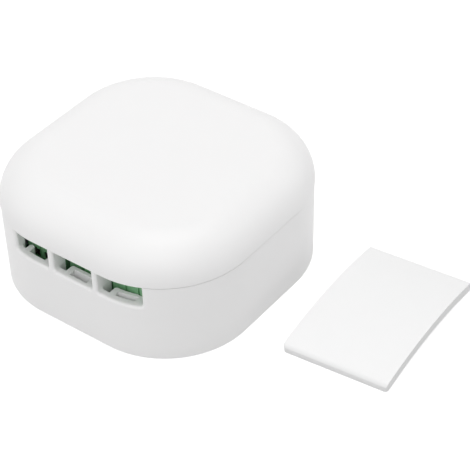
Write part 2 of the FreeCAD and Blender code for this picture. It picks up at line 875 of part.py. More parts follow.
# Radio board with its shield and antenna
def radio_board():
    board = block(radio_x, radio_y, board_top, radio_length, radio_width, radio_thickness)
    low = board_top - past_face
    high = board_top + radio_thickness + past_face
    notches = []
    first = radio_x + shield_offset - (radio_notches - 1) * radio_notch_pitch / 2
    for step in range(radio_notches):
        for side in (-1, 1):
            y = radio_y + side * radio_width / 2
            x = first + step * radio_notch_pitch
            notches.append(rod(x, y, low, high, radio_notch_radius))
    return remove(board, notches)


def radio_shield():
    low = board_top + radio_thickness
    x = radio_x + shield_offset
    can = block(x, radio_y, low, shield_length, shield_width, shield_height)
    can = round_edges(can, shield_corner, is_upright)
    return round_edges(can, shield_edge, lambda e: is_level(e, low + shield_height))


def chip_antenna():
    x = radio_x + antenna_offset
    return block(x, radio_y, board_top + radio_thickness, antenna_width, antenna_length, antenna_height)


# Pairing button, status lamp and control chip
def button_case():
    case = block(button_x, button_y, board_top, button_size, button_size, button_height)
    case = round_edges(case, button_corner, is_upright)
    offset = button_size / 2 - button_peg_inset
    top = board_top + button_height
    pegs = [rod(button_x + x, button_y + y, top - sunk, top + button_peg_height, button_peg_radius)
            for x, y in four_places(offset, offset)]
    well = rod(button_x, button_y, board_top + button_well_floor, top + past_face,
               button_plunger_radius + button_plunger_clearance)
    return remove(join([case] + pegs), [well])


def button_plunger():
    low = board_top + button_well_floor + button_travel + button_stop_gap
    high = board_top + button_plunger_top
    plunger = rod(button_x, button_y, low, high, button_plunger_radius)
    return plunger.makeChamfer(button_chamfer, [edge for edge in plunger.Edges if is_level(edge, high)])


def status_lamp():
    base = block(lamp_x, lamp_y, board_top, lamp_length, lamp_width, lamp_base_height)
    lens = block(lamp_x, lamp_y, board_top + lamp_base_height - shallow, lamp_lens_length, lamp_width,
                 lamp_height - lamp_base_height + shallow)
    return join([base, lens])


def control_chip():
    low = board_top + chip_lift
    body = block(chip_x, chip_y, low, chip_length, chip_width, chip_height)
    pieces = [body]
    mid = low + chip_height / 2
    for step in range(chip_legs):
        x = chip_x + (step - (chip_legs - 1) / 2) * chip_pitch
        for side in (-1, 1):
            edge = chip_y + side * chip_width / 2
            knee = edge + side * chip_leg_reach / 2
            foot = edge + side * chip_leg_reach
            half = chip_leg_thickness / 2
            left = x - chip_leg_width / 2
            root = edge - side * chip_leg_root
            profile = [
                Vector(left, root, mid + half), Vector(left, knee + side * half, mid + half),
                Vector(left, knee + side * half, board_top + chip_leg_thickness),
                Vector(left, foot, board_top + chip_leg_thickness), Vector(left, foot, board_top),
                Vector(left, knee - side * half, board_top), Vector(left, knee - side * half, mid - half),
                Vector(left, root, mid - half),
            ]
            pieces.append(polygon(profile).extrude(Vector(chip_leg_width, 0, 0)))
    return join(pieces)


# Solder joints under the board
def solder_joints():
    spots = []
    for centre in terminal_centres():
        spots += [(x, contact_leg_y) for x in pole_centres(centre)]
    for x, y in relay_centres():
        reach = relay_length / 2 - relay_pin_inset_y
        side = relay_width / 2 - relay_pin_inset_x
        spots += [(x - side, y + reach), (x + side, y + reach), (x, y - reach), (x, y)]
    pin_row = bobbin_width / 2 - bobbin_pin_inset_x
    pin_side = bobbin_depth / 2 - bobbin_pin_inset_y
    for side in (-1, 1):
        y = transformer_y + side * pin_side
        spots += [(transformer_x + step * pin_row, y) for step in (-1, 0, 1)]
    for x, y, radius in ((filter_cap_x, filter_cap_y, filter_cap_radius),
                         (output_cap_x, output_cap_y, output_cap_radius)):
        spots += [(x, y + side * radius * can_lead_spread) for side in (-1, 1)]
    spots += [(varistor_x, varistor_y + side * varistor_lead_spread) for side in (-1, 1)]
    spots += [(fuse_x, fuse_y + side * (fuse_length / 2 + lead_reach)) for side in (-1, 1)]
    cones = [Part.makeCone(solder_radius, solder_tip_radius, solder_height, Vector(x, y, board_height),
                           Vector(0, 0, -1)) for x, y in spots]
    return Part.makeCompound(cones)


# Foam mounting pad
def pad_layer(low, high):
    """One layer of the pad between two heights above its underside, arched along its length."""
    half = pad_length / 2
    radius = (half ** 2 + pad_rise ** 2) / (2 * pad_rise)
    centre_z = pad_rise - radius

    def arc_points(r):
        angle = math.asin(half / radius)
        ends = [Vector(-pad_width / 2, side * r * math.sin(angle), centre_z + r * math.cos(angle))
                for side in (-1, 1)]
        return ends[0], Vector(-pad_width / 2, 0, centre_z + r), ends[1]

    lower = arc_points(radius + low)
    upper = arc_points(radius + high)
    profile = [
        Part.Arc(*lower).toShape(),
        straight(lower[2], upper[2]),
        Part.Arc(*upper[::-1]).toShape(),
        straight(upper[0], lower[0]),
    ]
    layer = Part.Face(Part.Wire(profile)).extrude(Vector(pad_width, 0, 0))
    height = pad_rise + pad_foam_thickness + 2 * (pad_liner_thickness + past_face)
    outline = block(0, 0, -past_face, pad_width, pad_length + 2 * past_face, height)
    outline = round_edges(outline, pad_corner, is_upright)
    layer = layer.common(outline)
    layer.rotate(Vector(0, 0, 0), Vector(0, 0, 1), pad_turn)
    layer.translate(Vector(pad_x, pad_y, 0))
    return layer


def build():
    nodes = {
        "base_shell": base_shell(),
        "top_cover": top_cover(),
        "circuit_board": circuit_board(),
        "board_screws": board_screws(),
        "terminal_contacts": terminal_contacts(),
        "solder_joints": solder_joints(),
    }
    for number, centre in enumerate(terminal_centres(), 1):
        nodes[f"terminal_housing_{number}"] = terminal_housing(centre)
        for pole, x in enumerate(pole_centres(centre), 1):
            nodes[f"clamp_cage_{number}_{pole}"] = clamp_cage(x)
            nodes[f"terminal_screw_{number}_{pole}"] = terminal_screw(x)
    for number, (x, y) in enumerate(relay_centres(), 1):
        nodes[f"relay_base_{number}"] = relay_base(x, y)
        nodes[f"relay_case_{number}"] = relay_case(x, y)
    core, bobbin, winding = transformer_pieces()
    nodes["transformer_core"] = core
    nodes["transformer_bobbin"] = bobbin
    nodes["transformer_winding"] = winding
    nodes["filter_capacitor"] = capacitor(filter_cap_x, filter_cap_y, filter_cap_radius, filter_cap_height)
    nodes["output_capacitor"] = capacitor(output_cap_x, output_cap_y, output_cap_radius, output_cap_height)
    nodes["varistor"] = varistor()
    nodes["fuse_resistor"] = fuse_resistor()
    nodes["radio_board"] = radio_board()
    nodes["radio_shield"] = radio_shield()
    nodes["chip_antenna"] = chip_antenna()
    nodes["button_case"] = button_case()
    nodes["button_plunger"] = button_plunger()
    nodes["status_lamp"] = status_lamp()
    nodes["control_chip"] = control_chip()
    foam_low = pad_liner_thickness
    foam_high = foam_low + pad_foam_thickness
    nodes["pad_liner_bottom"] = pad_layer(0, foam_low)
    nodes["pad_foam"] = pad_layer(foam_low, foam_high)
    nodes["pad_liner_top"] = pad_layer(foam_high, foam_high + pad_liner_thickness)
    return nodes


os.makedirs("parts", exist_ok=True)
for name, shape in build().items():
    assert shape.isValid(), name
    print(name, len(shape.Solids), round(shape.Volume, 2))
    shape.exportStep(f"parts/{name}.step")
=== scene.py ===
import math
import random

import bmesh
import bpy
from mathutils import Matrix, Vector


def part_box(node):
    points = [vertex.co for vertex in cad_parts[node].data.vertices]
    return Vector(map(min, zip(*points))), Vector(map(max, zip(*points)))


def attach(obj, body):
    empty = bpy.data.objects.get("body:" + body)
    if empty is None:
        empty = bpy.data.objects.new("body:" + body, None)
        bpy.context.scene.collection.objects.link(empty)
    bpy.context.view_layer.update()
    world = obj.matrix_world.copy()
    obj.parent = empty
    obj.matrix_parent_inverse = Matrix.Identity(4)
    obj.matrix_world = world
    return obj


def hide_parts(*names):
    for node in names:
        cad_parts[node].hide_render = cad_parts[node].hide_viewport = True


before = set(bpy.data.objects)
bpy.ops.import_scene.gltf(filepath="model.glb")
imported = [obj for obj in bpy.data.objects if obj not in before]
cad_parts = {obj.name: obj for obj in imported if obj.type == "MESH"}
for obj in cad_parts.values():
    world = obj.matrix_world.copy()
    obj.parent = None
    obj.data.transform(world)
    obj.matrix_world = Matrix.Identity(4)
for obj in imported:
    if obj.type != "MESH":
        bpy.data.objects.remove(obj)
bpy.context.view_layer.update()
mm = 0.001
scene = bpy.context.scene
scene.view_settings.view_transform = "Standard"


# Camera: a long lens some 40 cm away, looking down at about 40 degrees, with the row of cable
# openings at the left. Its place and turn are those from which the photograph was taken.
camera = bpy.data.objects.new("camera", bpy.data.cameras.new("camera"))
scene.collection.objects.link(camera)
camera.data.sensor_width = 36
camera.data.lens = 130.54
camera.data.clip_start = 0.01
camera_place = (0.194843, -0.225444, 0.252748)
camera_right = Vector((0.80242435, 0.59638721, -0.0209154))
camera_up = Vector((-0.36863565, 0.52294271, 0.76853021))
camera_ahead = Vector((-0.46927914, 0.60897719, -0.63947155))
camera_turn = Matrix((camera_right, camera_up, -camera_ahead)).transposed().to_4x4()
camera.matrix_world = Matrix.Translation(camera_place) @ camera_turn
scene.camera = camera


# Floor: a wide pale table top. It adds its own white only towards the camera and in reflections,
# so the object is lit by the lamps alone and its contact shadow stays.
table_reach, table_drop = 4, 0.05 * mm
table_grey, table_glow_level = 0.62, 0.72
floor_bm = bmesh.new()
bmesh.ops.create_grid(floor_bm, x_segments=1, y_segments=1, size=table_reach)
bmesh.ops.translate(floor_bm, verts=floor_bm.verts, vec=(0, 0, -table_drop))
floor_mesh = bpy.data.meshes.new("floor")
floor_bm.to_mesh(floor_mesh)
floor_bm.free()
floor = bpy.data.objects.new("floor", floor_mesh)
scene.collection.objects.link(floor)


def seen_directly(nodes, links):
    """1 for camera, glossy and transmission rays, 0 for the light that falls on the object."""
    path = nodes.new("ShaderNodeLightPath")
    camera_or_glossy = nodes.new("ShaderNodeMath")
    camera_or_glossy.operation = "MAXIMUM"
    links.new(path.outputs["Is Camera Ray"], camera_or_glossy.inputs[0])
    links.new(path.outputs["Is Glossy Ray"], camera_or_glossy.inputs[1])
    any_of_three = nodes.new("ShaderNodeMath")
    any_of_three.operation = "MAXIMUM"
    links.new(camera_or_glossy.outputs[0], any_of_three.inputs[0])
    links.new(path.outputs["Is Transmission Ray"], any_of_three.inputs[1])
    return any_of_three.outputs[0]


table_white = bpy.data.materials.new("table_white")
table_white.use_nodes = True
nodes, links = table_white.node_tree.nodes, table_white.node_tree.links
table_paint = nodes["Principled BSDF"]
table_paint.inputs["Base Color"].default_value = (table_grey, table_grey, table_grey, 1)
table_paint.inputs["Roughness"].default_value = 0.9
table_paint.inputs["Specular IOR Level"].default_value = 0.0
table_glow = nodes.new("ShaderNodeEmission")
glow_level = nodes.new("ShaderNodeMath")
glow_level.operation = "MULTIPLY"
glow_level.inputs[1].default_value = table_glow_level
links.new(seen_directly(nodes, links), glow_level.inputs[0])
links.new(glow_level.outputs[0], table_glow.inputs["Strength"])
table_sum = nodes.new("ShaderNodeAddShader")
links.new(table_paint.outputs[0], table_sum.inputs[0])
links.new(table_glow.outputs[0], table_sum.inputs[1])
links.new(table_sum.outputs[0], nodes["Material Output"].inputs["Surface"])
floor.data.materials.append(table_white)


# Light: an even white studio sky and six large soft boxes, the strongest straight above. The one
# over the camera reaches into the openings, and the weak ones shade the walls evenly.
white = (1, 1, 1, 1)
sky_level, backdrop_level = 0.5, 1.0
soft_box_width = 0.7
sky = bpy.data.worlds.new("studio")
scene.world = sky
sky.use_nodes = True
nodes, links = sky.node_tree.nodes, sky.node_tree.links
nodes["Background"].inputs["Color"].default_value = white
nodes["Background"].inputs["Strength"].default_value = sky_level
backdrop = nodes.new("ShaderNodeBackground")
backdrop.inputs["Color"].default_value = white
backdrop.inputs["Strength"].default_value = backdrop_level
choice = nodes.new("ShaderNodeMixShader")
links.new(seen_directly(nodes, links), choice.inputs["Fac"])
links.new(nodes["Background"].outputs[0], choice.inputs[1])
links.new(backdrop.outputs[0], choice.inputs[2])
links.new(choice.outputs[0], nodes["World Output"].inputs["Surface"])


def add_soft_box(name, place, power):
    """A square lamp that faces the object; power in watts."""
    lamp = bpy.data.objects.new(name, bpy.data.lights.new(name, "AREA"))
    scene.collection.objects.link(lamp)
    lamp.data.shape = "SQUARE"
    lamp.data.size = soft_box_width
    lamp.data.energy = power
    lamp.location = place
    lamp.rotation_euler = (-lamp.location).to_track_quat("-Z", "Y").to_euler()


add_soft_box("box_above", place=(0.0, 0.0, 0.95), power=2.62)
add_soft_box("box_over_camera", place=(0.5, -0.65, 0.68), power=1.5)
add_soft_box("box_front", place=(0.05, -0.8, 0.65), power=0.96)
add_soft_box("box_front_left", place=(-0.6, -0.65, 0.35), power=0.7)
add_soft_box("box_back_right", place=(0.6, 0.7, 0.5), power=1.05)
add_soft_box("box_back_left", place=(-0.6, 0.7, 0.5), power=0.4)


# Base shell: the tray of the case, one moulding in white ABS. Its cable openings, posts and tie
# loops come from the same tool, and its outside has the fine satin of a spark-eroded mould.
micron = 0.001 * mm


def new_finish(name, colour, roughness, metallic=0.0):
    """A plain material, before its unevenness and its grain are added."""
    material = bpy.data.materials.new(name)
    material.use_nodes = True
    shader = material.node_tree.nodes["Principled BSDF"]
    shader.inputs["Base Color"].default_value = (*colour, 1)
    shader.inputs["Roughness"].default_value = roughness
    shader.inputs["Metallic"].default_value = metallic
    return material


def add_noise(material, scale, detail=2.0, stretch=(1, 1, 1)):
    """Noise of about scale waves a metre, fixed to the object."""
    nodes, links = material.node_tree.nodes, material.node_tree.links
    place = nodes.new("ShaderNodeTexCoord")
    noise = nodes.new("ShaderNodeTexNoise")
    noise.inputs["Scale"].default_value = scale
    noise.inputs["Detail"].default_value = detail
    if stretch == (1, 1, 1):
        links.new(place.outputs["Object"], noise.inputs["Vector"])
    else:
        mapping = nodes.new("ShaderNodeMapping")
        mapping.inputs["Scale"].default_value = stretch
        links.new(place.outputs["Object"], mapping.inputs["Vector"])
        links.new(mapping.outputs[0], noise.inputs["Vector"])
    return noise.outputs["Fac"]


def add_grain(material, scale, depth, detail=2.0, stretch=(1, 1, 1)):
    """Fine relief of a depth in metres."""
    nodes, links = material.node_tree.nodes, material.node_tree.links
    bump = nodes.new("ShaderNodeBump")
    bump.inputs["Distance"].default_value = depth
    links.new(add_noise(material, scale, detail, stretch), bump.inputs["Height"])
    links.new(bump.outputs[0], nodes["Principled BSDF"].inputs["Normal"])


def add_uneven_gloss(material, scale, low, high, stretch=(1, 1, 1)):
    """Roughness that wanders between two values."""
    nodes, links = material.node_tree.nodes, material.node_tree.links
    spread = nodes.new("ShaderNodeMapRange")
    spread.inputs["To Min"].default_value = low
    spread.inputs["To Max"].default_value = high
    links.new(add_noise(material, scale, detail=3.0, stretch=stretch), spread.inputs["Value"])
    links.new(spread.outputs["Result"], nodes["Principled BSDF"].inputs["Roughness"])


def mix_colours(material, factor, first, second):
    """Colour that goes from first to second as the factor goes from 0 to 1."""
    nodes, links = material.node_tree.nodes, material.node_tree.links
    mix = nodes.new("ShaderNodeMix")
    mix.data_type = "RGBA"
    mix.inputs["A"].default_value = (*first, 1)
    mix.inputs["B"].default_value = (*second, 1)
    links.new(factor, mix.inputs["Factor"])
    links.new(mix.outputs["Result"], nodes["Principled BSDF"].inputs["Base Color"])


def add_uneven_colour(material, scale, first, second, detail=3.0):
    """Colour that wanders between two tones."""
    mix_colours(material, add_noise(material, scale, detail), first, second)


def dress(node, material):
    """Gives a solid of the frame its finish."""
    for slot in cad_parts[node].material_slots:
        slot.material = material


white_plastic = new_finish("white_plastic", colour=(0.93, 0.93, 0.93), roughness=0.4)
add_uneven_colour(white_plastic, scale=140, first=(0.926, 0.922, 0.922), second=(0.938, 0.934, 0.934))
add_uneven_gloss(white_plastic, scale=260, low=0.38, high=0.46)
add_grain(white_plastic, scale=5200, depth=12 * micron)
dress("base_shell", white_plastic)


# Circuit board: glass-epoxy laminate under a green solder mask, punched out round the cover's
# pegs. It lies on four standoffs of the base.
board_mask = new_finish("board_mask", colour=(0.02, 0.16, 0.07), roughness=0.32)
add_uneven_colour(board_mask, scale=900, first=(0.018, 0.15, 0.062), second=(0.028, 0.19, 0.085))
add_uneven_gloss(board_mask, scale=1400, low=0.26, high=0.4)
add_grain(board_mask, scale=7000, depth=10 * micron)
board_mask.node_tree.nodes["Principled BSDF"].inputs["Coat Weight"].default_value = 0.3
dress("circuit_board", board_mask)


# Tracks: etched copper, which shows as a paler green through the solder mask. Wide ones carry the
# mains from the clamps and relays, and narrow ones the signals of the radio and the chip. Places
# and widths are in millimetres.
board_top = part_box("circuit_board")[1].z
copper_height = 0.045 * mm
height_step, height_count = 0.02, 20
cube_corners = 8
clamp_track, supply_track, signal_track = 1.7, 0.5, 0.28
clamp_start, clamp_bend, clamp_end = -20.5, -16.2, -14.6
clamp_squeeze, clamp_shift = 0.9, 0.6
bundle_count, bundle_pitch, bundle_chamfer, bundle_lean = 6, 0.75, 1.7, (0.3, 0.35)
bundle_from, bundle_bend, bundle_to = (-12.4, 6.2), (-9.4, 4.2), (6.9, 10.4)
rear_count, rear_pitch, rear_chamfer = 5, 0.8, 3.2
rear_from, rear_bend, rear_turn, rear_to = (-19.4, 5.4), 11.0, 18.4, (-16.6, 19.2)
supply_count, supply_pitch, supply_chamfer = 4, 1.1, 2.6
supply_from, supply_column, supply_to = (13.8, 15.6), 19.0, (24.8, 9.0)
mains_runs = (([(-25.2, -3.6), (-25.2, -12.4), (-19.4, -17.6)], 2.2),
              ([(25.4, -11.4), (25.4, 1.4)], 2.4),
              ([(20.6, -16.6), (20.6, -10.4)], 2.4))


def piece(name, bm, material, body, smooth_angle=35):
    """Turns a finished bmesh into a piece of the part that rides on a body."""
    mesh = bpy.data.meshes.new(name)
    bm.to_mesh(mesh)
    bm.free()
    mesh.materials.append(material)
    mesh.shade_smooth()
    mesh.set_sharp_from_angle(angle=math.radians(smooth_angle))
    made = bpy.data.objects.new(name, mesh)
    scene.collection.objects.link(made)
    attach(made, body)
    return made


def add_bar(bm, centre, size, turn=0.0):
    """Adds a box, by its centre and size, turned about the vertical."""
    place = Matrix.Translation(centre) @ Matrix.Rotation(turn, 4, "Z") @ Matrix.Diagonal((*size, 1))
    bmesh.ops.create_cube(bm, size=1, matrix=place)


def middle(node):
    low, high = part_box(node)
    return (low + high) / 2


def extent(node):
    low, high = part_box(node)
    return high - low


def add_track(bm, points, width):
    """Adds a run of straight bars through points in millimetres. Each bar is a hair lower than the
    last, so that no two tops share a plane."""
    for (x0, y0), (x1, y1) in zip(points, points[1:]):
        start, end = Vector((x0, y0, 0)) * mm, Vector((x1, y1, 0)) * mm
        along = end - start
        bars_before = len(bm.verts) // cube_corners
        height = copper_height * (1 - height_step * (bars_before % height_count))
        centre = (start + end) / 2 + Vector((0, 0, board_top + height / 2))
        size = (along.length + width * mm, width * mm, height)
        add_bar(bm, centre, size, turn=math.atan2(along.y, along.x))


tracks = bmesh.new()
for block in (1, 2, 3):
    for pole in (1, 2, 3):
        x = middle(f"terminal_screw_{block}_{pole}").x / mm
        inner_x = x * clamp_squeeze - clamp_shift
        add_track(tracks, [(x, clamp_start), (x, clamp_bend), (inner_x, clamp_end)], clamp_track)
for step in range(bundle_count):
    lift = bundle_pitch * step
    level, right = bundle_bend[1] + lift, bundle_to[0] - lift
    left_end = (bundle_from[0] + bundle_lean[0] * step, bundle_from[1] + bundle_lean[1] * lift)
    add_track(tracks, [left_end, (bundle_bend[0], level), (right - bundle_chamfer, level),
                       (right, level + bundle_chamfer), (right, bundle_to[1])], signal_track)
for step in range(rear_count):
    shift = rear_pitch * step
    left = rear_from[0] - shift
    right = left + rear_chamfer
    add_track(tracks, [(left, rear_from[1] + shift), (left, rear_bend), (right, rear_bend + rear_chamfer),
                       (right, rear_turn - shift), (rear_to[0], rear_to[1] - shift / 2)], signal_track)
for step in range(supply_count):
    upper, lower = supply_from[1] + supply_pitch * step, supply_to[1] - step
    add_track(tracks, [(supply_from[0], upper), (supply_column - supply_chamfer, upper),
                       (supply_column, upper - supply_chamfer), (supply_column, lower),
                       (supply_to[0], lower)], supply_track)
for points, width in mains_runs:
    add_track(tracks, points, width)
board_copper = new_finish("board_copper", colour=(0.04, 0.24, 0.10), roughness=0.3)
add_uneven_colour(board_copper, scale=900, first=(0.035, 0.23, 0.095), second=(0.05, 0.27, 0.12))
add_grain(board_copper, scale=7000, depth=10 * micron)
board_copper.node_tree.nodes["Principled BSDF"].inputs["Coat Weight"].default_value = 0.3
piece("board_tracks", tracks, board_copper, "case")


# Component outlines: thin white ink, screen-printed on the solder mask round the places of the
# larger parts, square for most and round for the two capacitors.
print_height, print_line = 0.03 * mm, 0.18 * mm
print_margin, ring_margin = 0.35 * mm, 0.4 * mm
ring_segments = 48


def add_outline(bm, centre, size):
    """Adds four printed lines round a part."""
    half_x, half_y = size.x / 2 + print_margin, size.y / 2 + print_margin
    across = (2 * half_x + print_line, print_line, print_height)
    upward = (print_line, 2 * half_y - print_line, print_height)
    z = board_top + print_height / 2
    for side in (-1, 1):
        add_bar(bm, (centre.x, centre.y + side * half_y, z), across)
        add_bar(bm, (centre.x + side * half_x, centre.y, z), upward)


def add_ring(bm, centre, radius, width, low, high):
    """Adds a flat ring, a rectangle spun about the vertical."""
    inner, outer = radius - width / 2, radius + width / 2
    corners = [(inner, low), (outer, low), (outer, high), (inner, high)]
    verts = [bm.verts.new((centre[0] + r, centre[1], z)) for r, z in corners]
    edges = [bm.edges.new(pair) for pair in zip(verts, verts[1:] + verts[:1])]
    bmesh.ops.spin(bm, geom=[*verts, *edges], cent=(centre[0], centre[1], 0), axis=(0, 0, 1),
                   angle=2 * math.pi, steps=ring_segments, use_merge=True)


prints = bmesh.new()
for node in ("relay_case_1", "relay_case_2", "transformer_bobbin", "control_chip", "button_case", "varistor",
             "terminal_housing_1", "terminal_housing_2", "terminal_housing_3", "radio_board", "fuse_resistor"):
    add_outline(prints, middle(node), extent(node))
for node in ("filter_capacitor", "output_capacitor"):
    ring_radius = extent(node).x / 2 + ring_margin
    add_ring(prints, middle(node), ring_radius, print_line, board_top, board_top + print_height)
bmesh.ops.recalc_face_normals(prints, faces=prints.faces)
board_print = new_finish("board_print", colour=(0.82, 0.82, 0.8), roughness=0.6)
add_uneven_colour(board_print, scale=3000, first=(0.76, 0.76, 0.73), second=(0.86, 0.86, 0.84))
piece("board_outlines", prints, board_print, "case")


# Board screws: four pan-head screws of zinc-plated steel with a cross recess, through the board
# into the standoffs.
zinc = new_finish("zinc_plate", colour=(0.62, 0.63, 0.65), roughness=0.3, metallic=1.0)
add_uneven_colour(zinc, scale=1500, first=(0.55, 0.56, 0.58), second=(0.68, 0.69, 0.7))
add_uneven_gloss(zinc, scale=2400, low=0.22, high=0.4)
add_grain(zinc, scale=6000, depth=8 * micron)
dress("board_screws", zinc)


# Terminal housings: three keyed blocks in green polyamide, three poles each, with a flared wire
# entry below and a round screw well above every pole. They are soldered down by their contacts.
terminal_green = new_finish("terminal_green", colour=(0.23, 0.5, 0.26), roughness=0.36)
add_uneven_colour(terminal_green, scale=500, first=(0.22, 0.48, 0.25), second=(0.24, 0.53, 0.28))
add_uneven_gloss(terminal_green, scale=900, low=0.3, high=0.44)
add_grain(terminal_green, scale=4200, depth=10 * micron)
for block in (1, 2, 3):
    dress(f"terminal_housing_{block}", terminal_green)


# Contacts, cages and clamp screws: a tinned strip for each pole, a nickel-plated brass cage round
# it, and a slotted zinc-plated screw that draws the cage up when it is turned.
tin = new_finish("tin_plate", colour=(0.72, 0.72, 0.71), roughness=0.34, metallic=1.0)
add_uneven_gloss(tin, scale=2600, low=0.25, high=0.45)
add_grain(tin, scale=5200, depth=12 * micron)
nickel = new_finish("nickel_plate", colour=(0.66, 0.61, 0.52), roughness=0.3, metallic=1.0)
add_uneven_colour(nickel, scale=1800, first=(0.6, 0.55, 0.45), second=(0.7, 0.66, 0.57))
add_uneven_gloss(nickel, scale=2600, low=0.22, high=0.4)
dress("terminal_contacts", tin)
for block in (1, 2, 3):
    for pole in (1, 2, 3):
        dress(f"clamp_cage_{block}_{pole}", nickel)
        dress(f"terminal_screw_{block}_{pole}", zinc)


# Relays: two power relays in black polyester cases, each glued over its base with sealing resin
# and soldered to the board. A vent nib stands on the top.
relay_black = new_finish("relay_black", colour=(0.018, 0.02, 0.024), roughness=0.3)
add_uneven_colour(relay_black, scale=700, first=(0.014, 0.016, 0.02), second=(0.024, 0.027, 0.032))
add_uneven_gloss(relay_black, scale=1100, low=0.24, high=0.42)
add_grain(relay_black, scale=5200, depth=14 * micron)
resin_black = new_finish("resin_black", colour=(0.012, 0.012, 0.012), roughness=0.25)
add_grain(resin_black, scale=900, depth=60 * micron)
for number in (1, 2):
    dress(f"relay_case_{number}", relay_black)
    dress(f"relay_base_{number}", resin_black)


# Transformer: a ferrite core round a black bobbin, the winding wrapped in yellow polyester tape.
# It feeds the radio from the mains, and the pins of its bobbin are soldered to the board.
ferrite = new_finish("ferrite", colour=(0.05, 0.05, 0.053), roughness=0.55)
add_uneven_colour(ferrite, scale=1600, first=(0.035, 0.035, 0.037), second=(0.075, 0.075, 0.08))
add_grain(ferrite, scale=2600, depth=20 * micron)
bobbin_black = new_finish("bobbin_black", colour=(0.015, 0.015, 0.015), roughness=0.4)
add_grain(bobbin_black, scale=3600, depth=14 * micron)
winding_tape = new_finish("winding_tape", colour=(0.75, 0.42, 0.03), roughness=0.26)
add_uneven_colour(winding_tape, scale=800, first=(0.7, 0.38, 0.025), second=(0.8, 0.48, 0.05))
add_grain(winding_tape, scale=500, depth=30 * micron, stretch=(1, 1, 6))
dress("transformer_core", ferrite)
dress("transformer_bobbin", bobbin_black)
dress("transformer_winding", winding_tape)


# Capacitors: aluminium cans in dark sleeves with a pale stripe down the negative side. The bare
# tops are scored with a cross so that they can open, which leaves four raised quarters.
sleeve_blue, stripe_grey = (0.02, 0.025, 0.06), (0.55, 0.56, 0.6)
stripe_half_angle = 0.5
score_half, quarter_height = 0.12 * mm, 0.05 * mm
quarter_reach = 0.82
arc_start, arc_degrees, arc_steps = 3, 84, 12


def sleeve(name, node):
    """Dark sleeve with a stripe, by the angle in radians round the can's axis."""
    material = new_finish(name, sleeve_blue, roughness=0.3)
    nodes, links = material.node_tree.nodes, material.node_tree.links
    place = nodes.new("ShaderNodeTexCoord")
    centred = nodes.new("ShaderNodeMapping")
    centred.vector_type = "POINT"
    centred.inputs["Location"].default_value = -middle(node)
    links.new(place.outputs["Object"], centred.inputs["Vector"])
    parts = nodes.new("ShaderNodeSeparateXYZ")
    links.new(centred.outputs[0], parts.inputs[0])
    angle = nodes.new("ShaderNodeMath")
    angle.operation = "ARCTAN2"
    links.new(parts.outputs["Y"], angle.inputs[0])
    links.new(parts.outputs["X"], angle.inputs[1])
    apart = nodes.new("ShaderNodeMath")
    apart.operation = "ABSOLUTE"
    links.new(angle.outputs[0], apart.inputs[0])
    stripe = nodes.new("ShaderNodeMath")
    stripe.operation = "LESS_THAN"
    stripe.inputs[1].default_value = stripe_half_angle
    links.new(apart.outputs[0], stripe.inputs[0])
    mix_colours(material, stripe.outputs[0], sleeve_blue, stripe_grey)
    add_uneven_gloss(material, scale=1200, low=0.22, high=0.36)
    add_grain(material, scale=1800, depth=16 * micron)
    return material


def add_quarter(bm, radius, place):
    """Adds a raised quarter of a can's top, beside the two scores."""
    outline = [bm.verts.new((score_half, score_half, 0))]
    for step in range(arc_steps + 1):
        angle = math.radians(arc_start + arc_degrees * step / arc_steps)
        outline.append(bm.verts.new((radius * math.cos(angle), radius * math.sin(angle), 0)))
    face = bm.faces.new(outline)
    extruded = bmesh.ops.extrude_face_region(bm, geom=[face])["geom"]
    raised = [v for v in extruded if isinstance(v, bmesh.types.BMVert)]
    bmesh.ops.translate(bm, verts=raised, vec=(0, 0, quarter_height))
    bmesh.ops.transform(bm, matrix=place, verts=outline + raised)


can_metal = new_finish("can_metal", colour=(0.72, 0.73, 0.75), roughness=0.3, metallic=1.0)
add_uneven_gloss(can_metal, scale=3000, low=0.24, high=0.42)
add_grain(can_metal, scale=3600, depth=10 * micron)
for node in ("filter_capacitor", "output_capacitor"):
    dress(node, sleeve(f"{node}_sleeve", node))
    centre = middle(node)
    on_top = Matrix.Translation((centre.x, centre.y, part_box(node)[1].z))
    vent = bmesh.new()
    for quarter in range(4):
        turned = Matrix.Rotation(quarter * math.pi / 2, 4, "Z")
        add_quarter(vent, extent(node).x / 2 * quarter_reach, on_top @ turned)
    bmesh.ops.recalc_face_normals(vent, faces=vent.faces)
    piece(f"{node}_vent", vent, can_metal, "case")


# Varistor and fuse resistor: a blue epoxy-dipped disc on two leads, and a lacquered resistor that
# lies along the board. Its four colour bands are printed on its thick ends and thin waist.
dipped_blue = new_finish("dipped_blue", colour=(0.02, 0.09, 0.36), roughness=0.24)
add_uneven_colour(dipped_blue, scale=900, first=(0.016, 0.08, 0.33), second=(0.03, 0.12, 0.42))
add_grain(dipped_blue, scale=700, depth=60 * micron)
dress("varistor", dipped_blue)
lacquer = new_finish("resistor_lacquer", colour=(0.16, 0.27, 0.17), roughness=0.35)
add_uneven_colour(lacquer, scale=1300, first=(0.14, 0.25, 0.15), second=(0.19, 0.31, 0.2))
add_grain(lacquer, scale=1500, depth=40 * micron)
dress("fuse_resistor", lacquer)
resistor_radius = 1.55 * mm
end_band, waist_band = 1.57 * mm, 1.27 * mm
band_half, band_thickness = 0.32 * mm, 0.06 * mm
brown, black, gold = (0.25, 0.02, 0.02), (0.02, 0.02, 0.02), (0.6, 0.4, 0.06)
resistor_centre = middle("fuse_resistor")
resistor_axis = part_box("fuse_resistor")[1].z - resistor_radius
bands_laid = ((-2.7, end_band, brown), (-1.0, waist_band, black), (0.5, waist_band, brown), (2.7, end_band, gold))
